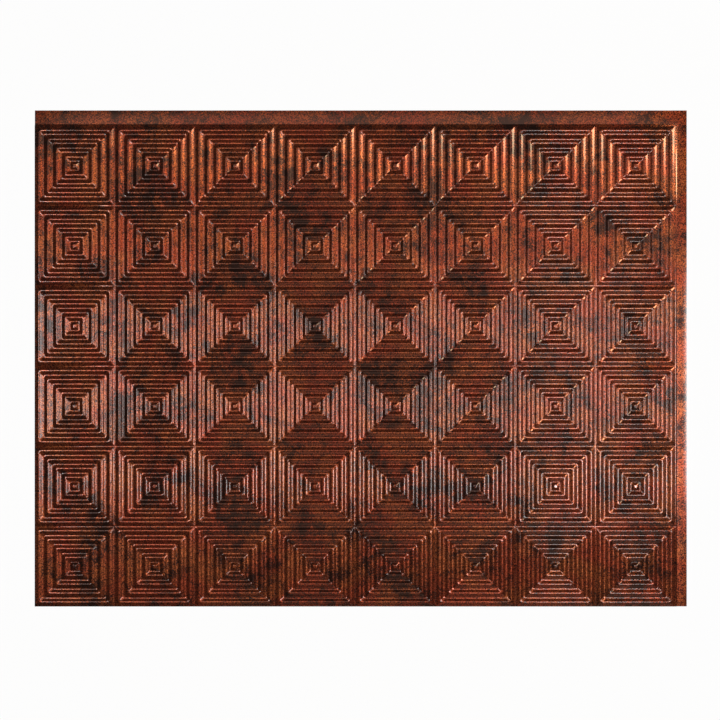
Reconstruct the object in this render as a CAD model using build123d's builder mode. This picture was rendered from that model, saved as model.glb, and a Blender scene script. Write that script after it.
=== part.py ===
from build123d import *
import os
from math import atan, cos, tan

# Formed vinyl backsplash panel: one thin sheet pressed into rows of square tiles with concentric ridges,
# with a flat lapping flange along its top and right edges. It lies face up. The origin is under the
# middle of the panel, +X runs to the right of the face and +Y to its top.

# Driving dimensions, in millimetres
TILE_WIDTH = 76.2  # side of one square tile
COLUMNS = 8
ROWS = 6
RINGS = 4  # ridges round the knob in the middle of a tile
RELIEF = 2.0  # height of a crest above the roots beside it, before the crest is rounded
CREST_RADIUS = 2.0
SHEET = 0.76  # thickness of the vinyl
LAP_RIGHT = 10.8  # flange past the last column, which the next panel covers
LAP_TOP = 14.8  # flange past the top row
LAP_DROP = SHEET  # the flange lies lower by the sheet that laps over it

# The section across the ridges
FLANKS = 2 * RINGS + 1  # from the middle of a tile to its edge
HALF_TILE = TILE_WIDTH / 2
FLANK_RUN = HALF_TILE / FLANKS
SLOPE = atan(RELIEF / FLANK_RUN)
GAUGE = SHEET / cos(SLOPE)  # thickness of the sheet on a flank, measured straight up
ROOT_BACK = LAP_DROP
ROOT_FRONT = ROOT_BACK + GAUGE
CREST_TOP = ROOT_FRONT + RELIEF
ROUNDED_OFF = CREST_RADIUS * (1 / cos(SLOPE) - 1)  # what the rounding takes off a crest's height
KNOB_TOP = CREST_TOP - ROUNDED_OFF  # the knob is cut off flat, as high as the rounded crests
KNOB_HALF = ROUNDED_OFF / tan(SLOPE)

# The outline, with the origin in its middle
PANEL_WIDTH = COLUMNS * TILE_WIDTH + LAP_RIGHT
PANEL_HEIGHT = ROWS * TILE_WIDTH + LAP_TOP
LEFT = -PANEL_WIDTH / 2
BOTTOM = -PANEL_HEIGHT / 2
FIELD_RIGHT = LEFT + COLUMNS * TILE_WIDTH
FIELD_TOP = BOTTOM + ROWS * TILE_WIDTH

# Roots and crests from a tile's edge in towards its middle, which is a crest too, the knob
half_zigzag = [(HALF_TILE - step * FLANK_RUN, RELIEF * (step % 2)) for step in range(FLANKS)]
front_half = [(across, ROOT_FRONT + rise) for across, rise in half_zigzag]
back_half = [(across, ROOT_BACK + rise) for across, rise in half_zigzag]
half_radii = [CREST_RADIUS if rise else 0 for across, rise in half_zigzag[1:]]

# A quarter of a tile: half the ridged section, cut off along the tile's diagonals
with BuildPart() as quarter:
    with BuildSketch(Plane.XZ):
        with BuildLine():
            front = FilletPolyline(
                *front_half, (KNOB_HALF, KNOB_TOP), (0, KNOB_TOP), radius=half_radii + [0]
            )
            back = Polyline(*back_half, (0, ROOT_BACK + RELIEF))
            Line(front @ 0, back @ 0)
            Line(front @ 1, back @ 1)
        make_face()
    extrude(amount=HALF_TILE, both=True)
    with BuildSketch():
        Polygon((0, 0), (HALF_TILE, -HALF_TILE), (HALF_TILE, HALF_TILE), align=None)
    extrude(amount=CREST_TOP, mode=Mode.INTERSECT)

# A tile: four quarters that meet along its diagonals, so that the ridges run round it in squares
with BuildPart() as tile:
    with PolarLocations(0, 4):
        add(quarter.part)

# The lap: the last flank runs on down to a flat flange, up the right side and round along the top
with BuildPart() as lap:
    with BuildLine():
        Polyline((FIELD_RIGHT, BOTTOM), (FIELD_RIGHT, FIELD_TOP), (LEFT, FIELD_TOP))
    with BuildSketch(Plane.XZ.offset(-BOTTOM)):
        flange_edge = FIELD_RIGHT + max(LAP_RIGHT, LAP_TOP)
        with BuildLine():
            Polyline(
                (FIELD_RIGHT, ROOT_FRONT),
                (FIELD_RIGHT + (ROOT_FRONT - SHEET) / tan(SLOPE), SHEET),
                (flange_edge, SHEET),
                (flange_edge, 0),
                (FIELD_RIGHT + ROOT_BACK / tan(SLOPE), 0),
                (FIELD_RIGHT, ROOT_BACK),
                close=True,
            )
        make_face()
    sweep(transition=Transition.RIGHT)
    with BuildSketch():
        Rectangle(PANEL_WIDTH, PANEL_HEIGHT)
    extrude(amount=CREST_TOP, mode=Mode.INTERSECT)

# The panel: the field of tiles and the lap, one sheet
with BuildPart() as panel:
    with Locations(((LEFT + FIELD_RIGHT) / 2, (BOTTOM + FIELD_TOP) / 2)):
        with GridLocations(TILE_WIDTH, TILE_WIDTH, COLUMNS, ROWS):
            add(tile.part)
    add(lap.part)
panel.part.label = "panel"

os.makedirs("parts", exist_ok=True)
export_step(panel.part, "parts/panel.step")
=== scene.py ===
from math import acos, atan2, cos, hypot, sin

import bmesh
import bpy
from mathutils import Matrix, Vector


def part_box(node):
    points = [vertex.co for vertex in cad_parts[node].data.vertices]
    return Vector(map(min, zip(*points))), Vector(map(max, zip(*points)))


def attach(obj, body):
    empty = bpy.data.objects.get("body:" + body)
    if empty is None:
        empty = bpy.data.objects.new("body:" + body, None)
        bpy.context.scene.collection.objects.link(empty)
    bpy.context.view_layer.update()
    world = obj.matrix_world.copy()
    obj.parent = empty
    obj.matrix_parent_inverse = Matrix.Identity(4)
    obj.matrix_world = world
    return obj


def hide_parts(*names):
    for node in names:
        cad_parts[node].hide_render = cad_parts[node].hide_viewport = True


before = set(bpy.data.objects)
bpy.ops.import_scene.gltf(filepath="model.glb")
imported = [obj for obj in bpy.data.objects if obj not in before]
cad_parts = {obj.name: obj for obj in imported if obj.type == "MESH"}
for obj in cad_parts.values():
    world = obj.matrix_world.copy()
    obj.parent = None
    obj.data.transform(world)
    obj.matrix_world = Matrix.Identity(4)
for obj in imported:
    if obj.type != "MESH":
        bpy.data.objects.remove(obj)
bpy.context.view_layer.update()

MM = 0.001

# The panel's sizes: the crests and the flanges reach as far as the CAD box does
TILE = 76.2 * MM
COLUMNS = 8
ROWS = 6
RINGS = 4
SHEET = 0.76 * MM
ROOT_HEIGHT = 1.6 * MM  # the face's lowest lines between the ridges
BEND = 2.5 * MM  # radius of the crests and the roots
BEND_STEPS = 2  # faces from the middle of a bend to its end
KNOB = 1.2 * MM  # half the flat top of the knob in a tile's middle
KNOB_BEND = 1.1 * MM
KNOB_CORNER = 1.0 * MM  # radius of the knob's corners, seen from above
WIDENING = 0.05  # by how much of its size a ring's corners open out beyond that
CORNER_STEPS = 3  # faces round a corner
LAP_RUN = 1.75 * MM  # how far the step down to the flange runs out
LAP_BEND = 0.8 * MM  # radius at the top and the foot of that step

low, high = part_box("panel")
FIELD_RIGHT = low[0] + COLUMNS * TILE
FIELD_TOP = low[1] + ROWS * TILE
FLANKS = 2 * RINGS + 1
FLANK_RUN = TILE / 2 / FLANKS
TINY = 0.01 * MM  # keeps the crests inside the CAD box, and is how near vertices count as one
CREST_HEIGHT = high[2] - TINY


def linear(hex_colour):
    """An sRGB hex colour as the linear colour that a shader takes."""
    parts = [int(hex_colour[place : place + 2], 16) / 255 for place in (1, 3, 5)]
    levels = [part / 12.92 if part <= 0.04045 else ((part + 0.055) / 1.055) ** 2.4 for part in parts]
    return levels + [1.0]


def add_node(tree, kind, inputs=None, **settings):
    """Adds a node with its settings, and gives each named or numbered input a value or a link."""
    made = tree.nodes.new(kind)
    for name, value in settings.items():
        setattr(made, name, value)
    for socket, value in (inputs or {}).items():
        if isinstance(value, bpy.types.NodeSocket):
            tree.links.new(value, made.inputs[socket])
        else:
            made.inputs[socket].default_value = value
    return made


def verts_of(result):
    """The vertices among the geometry that an operator made."""
    return [item for item in result["geom"] if isinstance(item, bmesh.types.BMVert)]


def everything(mesh):
    return mesh.verts[:] + mesh.edges[:] + mesh.faces[:]


def flank_steps(run, fall, bend):
    """A flank as steps out and down: it bends over, slopes straight down and bends back to level."""
    slope = atan2(run, 2 * bend - fall) - acos(2 * bend / hypot(run, 2 * bend - fall))
    turns = [slope * step / BEND_STEPS for step in range(BEND_STEPS + 1)]
    curve = [
        (bend * (sin(end) - sin(start)), bend * (cos(start) - cos(end)))
        for start, end in zip(turns, turns[1:])
    ]
    straight = (run - 2 * bend * sin(slope), fall - 2 * bend * (1 - cos(slope)))
    return curve + [straight] + curve[::-1]


def corner_radius(half):
    """The radius of a ring's corners, seen from above. A tile's own corners are sharp."""
    return min(KNOB_CORNER + WIDENING * (half - KNOB), TILE / 2 - half)


def draw_ring(sheet, half, run, rise):
    """Draws a tile's edge outward on all four sides, from a ring of this half width, and up or down."""
    edges = [edge for edge in sheet.edges if edge.is_boundary]
    drawn = verts_of(bmesh.ops.extrude_edge_only(sheet, edges=edges))
    opening = corner_radius(half + run) / corner_radius(half)
    for right in (-1, 1):
        for up in (-1, 1):
            corner = [vert for vert in drawn if vert.co.x * right > 0 and vert.co.y * up > 0]
            middle = Vector((right, up, 0)) * (half - corner_radius(half))
            bmesh.ops.scale(
                sheet, verts=corner, vec=(opening, opening, 1), space=Matrix.Translation(-middle)
            )
            moved = Vector((right, up, 0)) * (half + run - corner_radius(half + run)) - middle
            bmesh.ops.translate(sheet, verts=corner, vec=moved + Vector((0, 0, rise)))


def press_tile(sheet):
    """Forms one tile in the field's lower left corner, outward from the knob in its middle."""
    bmesh.ops.create_grid(sheet, x_segments=1, y_segments=1, size=KNOB)
    bmesh.ops.bevel(
        sheet,
        geom=sheet.verts[:],
        offset=KNOB_CORNER,
        offset_type="OFFSET",
        segments=CORNER_STEPS,
        profile=0.5,
        affect="VERTICES",
        material=-1,
    )
    half = KNOB
    for flank in range(FLANKS):
        down = flank % 2 == 0
        bend = BEND if flank else KNOB_BEND
        for run, fall in flank_steps((flank + 1) * FLANK_RUN - half, CREST_HEIGHT - ROOT_HEIGHT, bend):
            draw_ring(sheet, half, run, -fall if down else fall)
            half += run
    bmesh.ops.remove_doubles(sheet, verts=sheet.verts, dist=TINY / 10)
    bmesh.ops.recalc_face_normals(sheet, faces=sheet.faces)
    corner = Vector((low[0] + TILE / 2, low[1] + TILE / 2, CREST_HEIGHT))
    bmesh.ops.translate(sheet, verts=sheet.verts, vec=corner)


def repeat_tile(sheet):
    """Repeats the tile over the field and joins the copies along their edges."""
    for step, copies in (((TILE, 0, 0), COLUMNS - 1), ((0, TILE, 0), ROWS - 1)):
        bmesh.ops.spin(
            sheet,
            geom=everything(sheet),
            axis=(0, 0, 1),
            angle=0,
            dvec=step,
            steps=copies,
            use_duplicate=True,
        )
    bmesh.ops.remove_doubles(sheet, verts=sheet.verts, dist=TINY)


def edges_at(sheet, axis, place):
    """The open edges of the sheet that lie along one of its sides."""
    return [
        edge
        for edge in sheet.edges
        if edge.is_boundary and all(abs(vert.co[axis] - place) < TINY for vert in edge.verts)
    ]


def draw_out(sheet, sides, rise):
    """Draws sides of the sheet outward, given as (axis, place, run), and up or down by the same rise."""
    edges = [edge for axis, place, run in sides for edge in edges_at(sheet, axis, place)]
    drawn = verts_of(bmesh.ops.extrude_edge_only(sheet, edges=edges))
    for axis, place, run in sides:
        moved = [vert for vert in drawn if abs(vert.co[axis] - place) < TINY]
        bmesh.ops.translate(sheet, verts=moved, vec=[run if axis == other else 0 for other in range(3)])
    bmesh.ops.translate(sheet, verts=drawn, vec=(0, 0, rise))


def add_lap(sheet):
    """Steps the sheet down to the flat flange along the top and the right."""
    right, top = FIELD_RIGHT, FIELD_TOP
    for run, fall in flank_steps(LAP_RUN, ROOT_HEIGHT - SHEET, LAP_BEND):
        draw_out(sheet, [(0, right, run), (1, top, run)], -fall)
        right, top = right + run, top + run
    draw_out(sheet, [(0, right, high[0] - right), (1, top, high[1] - top)], 0)


def thicken(sheet):
    """Gives the sheet its thickness. The back and the cut edges take the second material."""
    front = set(sheet.faces)
    backed = bmesh.ops.extrude_face_region(sheet, geom=sheet.faces[:], use_keep_orig=True)
    bmesh.ops.translate(sheet, verts=verts_of(backed), vec=(0, 0, -SHEET))
    for face in sheet.faces:
        face.smooth = face in front
        face.material_index = 0 if face in front else 1
    bmesh.ops.recalc_face_normals(sheet, faces=sheet.faces)


def make_panel():
    """The whole formed sheet, as one mesh."""
    sheet = bmesh.new()
    press_tile(sheet)
    repeat_tile(sheet)
    add_lap(sheet)
    thicken(sheet)
    mesh = bpy.data.meshes.new("formed_sheet")
    sheet.to_mesh(mesh)
    sheet.free()
    panel = bpy.data.objects.new("formed_sheet", mesh)
    bpy.context.collection.objects.link(panel)
    panel.modifiers.new("flat_flanks", "WEIGHTED_NORMAL")
    return panel


def noise(tree, place, size, detail=2.0, roughness=0.5, distortion=0.0):
    """A noise whose patches measure about this many millimetres."""
    inputs = {
        "Vector": place,
        "Scale": 1 / (size * MM),
        "Detail": detail,
        "Roughness": roughness,
        "Distortion": distortion,
    }
    return add_node(tree, "ShaderNodeTexNoise", inputs)


def weighted_sum(tree, parts):
    """The sum of some values, each times its weight."""
    total = 0.0
    for value, weight in parts:
        inputs = {0: value, 1: weight, 2: total}
        total = add_node(tree, "ShaderNodeMath", inputs, operation="MULTIPLY_ADD").outputs[0]
    return total


def spread(tree, value, start, end, first=0.0, last=1.0):
    """Goes smoothly from the first result to the last while a value goes from start to end."""
    made = add_node(
        tree,
        "ShaderNodeMapRange",
        {"Value": value, "From Min": start, "From Max": end, "To Min": first, "To Max": last},
        interpolation_type="SMOOTHSTEP",
    )
    return made.outputs["Result"]


def mix_colours(tree, share, first, second):
    mixed = add_node(tree, "ShaderNodeMix", {0: share, 6: first, 7: second}, data_type="RGBA")
    return mixed.outputs[2]


def antiqued_copper_film():
    """Copper-coloured metallised film, printed with a black-brown patina and sealed under clear lacquer.
    The print is a fine speckle that thickens into smudges and clouds, with a few dark veins, so that no
    two tiles look alike. The lacquer adds a pale gloss along the bends."""
    material = bpy.data.materials.new("antiqued_copper_film")
    material.use_nodes = True
    tree = material.node_tree
    shader = tree.nodes["Principled BSDF"]
    place = add_node(tree, "ShaderNodeTexCoord").outputs["Object"]
    clouds = noise(tree, place, 48, detail=3).outputs["Fac"]
    smudges = noise(tree, place, 10, detail=3, distortion=0.5).outputs["Fac"]
    grain = noise(tree, place, 1.2, detail=3, roughness=0.75).outputs["Fac"]

    # The veins: the edges of wandering cells, only where the patina is thick
    wander = noise(tree, place, 16, detail=3, roughness=0.6).outputs["Color"]
    bent = add_node(
        tree,
        "ShaderNodeVectorMath",
        {0: wander, 1: (40 * MM, 40 * MM, 40 * MM), 2: place},
        operation="MULTIPLY_ADD",
    )
    cells = add_node(
        tree,
        "ShaderNodeTexVoronoi",
        {"Vector": bent.outputs[0], "Scale": 1 / (30 * MM)},
        feature="DISTANCE_TO_EDGE",
    )
    vein = spread(tree, cells.outputs["Distance"], 0.0, 0.035, 1.0, 0.0)
    thick = spread(tree, clouds, 0.42, 0.62)
    vein = add_node(tree, "ShaderNodeMath", {0: vein, 1: thick}, operation="MULTIPLY").outputs[0]

    speckle = spread(tree, grain, 0.41, 0.6)
    density = weighted_sum(tree, [(clouds, 1.0), (smudges, 0.9), (grain, 0.7), (vein, 0.25)])
    blotch = spread(tree, density, 1.14, 1.56)

    # The film's own colour wanders between a rosy and a golden copper
    hue = spread(tree, noise(tree, place, 30, detail=2).outputs["Fac"], 0.35, 0.65)
    copper = mix_colours(tree, hue, linear("#DC6038"), linear("#E27A40"))
    worn = mix_colours(tree, speckle, copper, linear("#521809"))
    colour = mix_colours(tree, blotch, worn, linear("#30100A"))
    tree.links.new(colour, shader.inputs["Base Color"])
    tree.links.new(spread(tree, blotch, 0.0, 1.0, 0.3, 0.36), shader.inputs["Roughness"])
    shader.inputs["Metallic"].default_value = 0.9
    shader.inputs["Coat Weight"].default_value = 1.0
    shader.inputs["Coat IOR"].default_value = 2.0
    shader.inputs["Coat Roughness"].default_value = 0.13

    pebble = noise(tree, place, 2.2, detail=2).outputs["Fac"]
    height = weighted_sum(tree, [(pebble, 0.8), (grain, 0.2)])
    bump = add_node(tree, "ShaderNodeBump", {"Height": height, "Strength": 0.2, "Distance": 0.04 * MM})
    tree.links.new(bump.outputs["Normal"], shader.inputs["Normal"])
    return material


def vinyl_back():
    """Dark brown rigid vinyl, as it comes off the forming mould and the trimming knife. It is duller and
    plainer than the face, with a faint mottle and the fine grain of the mould."""
    material = bpy.data.materials.new("brown_vinyl")
    material.use_nodes = True
    tree = material.node_tree
    shader = tree.nodes["Principled BSDF"]
    place = add_node(tree, "ShaderNodeTexCoord").outputs["Object"]
    mottle = noise(tree, place, 25, detail=3).outputs["Fac"]
    grain = noise(tree, place, 0.7, detail=2).outputs["Fac"]
    colour = mix_colours(tree, spread(tree, mottle, 0.3, 0.7), linear("#231510"), linear("#33221B"))
    tree.links.new(colour, shader.inputs["Base Color"])
    rough = weighted_sum(tree, [(mottle, 0.2), (grain, 0.15)])
    tree.links.new(spread(tree, rough, 0.1, 0.25, 0.38, 0.52), shader.inputs["Roughness"])
    bump = add_node(tree, "ShaderNodeBump", {"Height": grain, "Strength": 0.4, "Distance": 0.03 * MM})
    tree.links.new(bump.outputs["Normal"], shader.inputs["Normal"])
    return material


panel = make_panel()
panel.data.materials.append(antiqued_copper_film())
panel.data.materials.append(vinyl_back())
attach(panel, "root")
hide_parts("panel")


FLOOR_GLOW = 0.97  # how much of the floor's white is its own where it is seen, and takes no shadow
LAMP_HEIGHT = 1.25  # of the lamps that hang over the panel
WHITE = "#FFFFFF"
WARM = "#FFD0B8"  # light off the room
GOLDEN = "#FFE2B8"  # the low lamp at the upper right


def add_floor():
    """A pale floor. Seen straight on it is white, and it still takes a soft shadow."""
    grid = bmesh.new()
    bmesh.ops.create_grid(grid, x_segments=1, y_segments=1, size=4.0)
    bmesh.ops.translate(grid, verts=grid.verts, vec=(0, 0, -0.1 * MM))
    mesh = bpy.data.meshes.new("floor")
    grid.to_mesh(mesh)
    grid.free()
    floor = bpy.data.objects.new("floor", mesh)
    bpy.context.collection.objects.link(floor)
    material = bpy.data.materials.new("white_paper")
    material.use_nodes = True
    tree = material.node_tree
    tree.nodes.remove(tree.nodes["Principled BSDF"])
    path = add_node(tree, "ShaderNodeLightPath").outputs
    rays = ("Is Camera Ray", "Is Glossy Ray", "Is Transmission Ray")
    seen = weighted_sum(tree, [(path[ray], FLOOR_GLOW) for ray in rays])
    paper = add_node(tree, "ShaderNodeBsdfDiffuse", {"Color": linear("#F4F4F2")}).outputs[0]
    glow = add_node(tree, "ShaderNodeEmission", {"Color": linear(WHITE), "Strength": 1.0}).outputs[0]
    mixed = add_node(tree, "ShaderNodeMixShader", {0: seen, 1: paper, 2: glow}).outputs[0]
    tree.links.new(mixed, tree.nodes["Material Output"].inputs["Surface"])
    mesh.materials.append(material)


def add_softbox(name, place, target, size, power, colour=WHITE):
    """A rectangular soft lamp that looks at a point."""
    light = bpy.data.lights.new(name, "AREA")
    light.shape = "RECTANGLE"
    light.size, light.size_y = size
    light.energy = power
    light.color = linear(colour)[:3]
    lamp = bpy.data.objects.new(name, light)
    lamp.location = place
    aim = Vector(target) - Vector(place)
    lamp.rotation_euler = Vector((0, 0, -1)).rotation_difference(aim).to_euler()
    lamp.visible_camera = False
    bpy.context.collection.objects.link(lamp)


def add_overhead(name, x, y, size, power, colour=WHITE):
    """A soft lamp that hangs over the panel and looks straight down."""
    add_softbox(name, (x, y, LAMP_HEIGHT), (x, y, 0.0), size, power, colour)


def add_world(strength, colour):
    """Dim surroundings of one colour, white where the camera sees them."""
    world = bpy.data.worlds.new("studio")
    world.use_nodes = True
    tree = world.node_tree
    background = tree.nodes["Background"]
    seen = add_node(tree, "ShaderNodeLightPath").outputs["Is Camera Ray"]
    level = add_node(tree, "ShaderNodeMapRange", {"Value": seen, "To Min": strength, "To Max": 1.0})
    tree.links.new(level.outputs[0], background.inputs["Strength"])
    tint = mix_colours(tree, seen, linear(colour), linear(WHITE))
    tree.links.new(tint, background.inputs["Color"])
    bpy.context.scene.world = world


# The camera looks straight down on the panel, as the photograph looks straight at it
PIXELS = 720  # side of the square picture
PIXELS_PER_MM = 1.05
PANEL_CENTRE = (360.8, 358.4)  # in pixels, from the picture's upper left corner
CAMERA_HEIGHT = 1.3
SENSOR = 36.0

camera_data = bpy.data.cameras.new("camera")
camera_data.sensor_width = SENSOR
camera_data.lens = SENSOR * CAMERA_HEIGHT / (PIXELS / PIXELS_PER_MM * MM)
camera = bpy.data.objects.new("camera", camera_data)
camera.location = (
    (PIXELS / 2 - PANEL_CENTRE[0]) / PIXELS_PER_MM * MM,
    (PANEL_CENTRE[1] - PIXELS / 2) / PIXELS_PER_MM * MM,
    CAMERA_HEIGHT,
)
bpy.context.collection.objects.link(camera)
bpy.context.scene.camera = camera
bpy.context.scene.view_settings.view_transform = "Standard"

add_floor()
add_world(0.055, WARM)
add_overhead("front_light", 0.0, 0.2, (1.2, 0.75), 1.15, WARM)
add_overhead("left_light", -0.56, 0.0, (0.34, 0.3), 2.4)
add_overhead("right_light", 0.43, -0.12, (0.24, 0.32), 2.2)
add_overhead("far_light", 0.92, -0.06, (0.2, 0.4), 1.5)
add_softbox("key_light", (1.12, 0.56, 0.6), (0.0, 0.1, 0.0), (1.0, 0.3), 5.8, GOLDEN)
add_softbox("side_light", (1.1, 0.05, 0.45), (0.0, 0.0, 0.0), (0.6, 0.6), 0.25, WARM)
add_softbox("fill_light", (0.3, -1.3, 0.7), (0.0, 0.0, 0.0), (1.2, 0.6), 0.45, WARM)
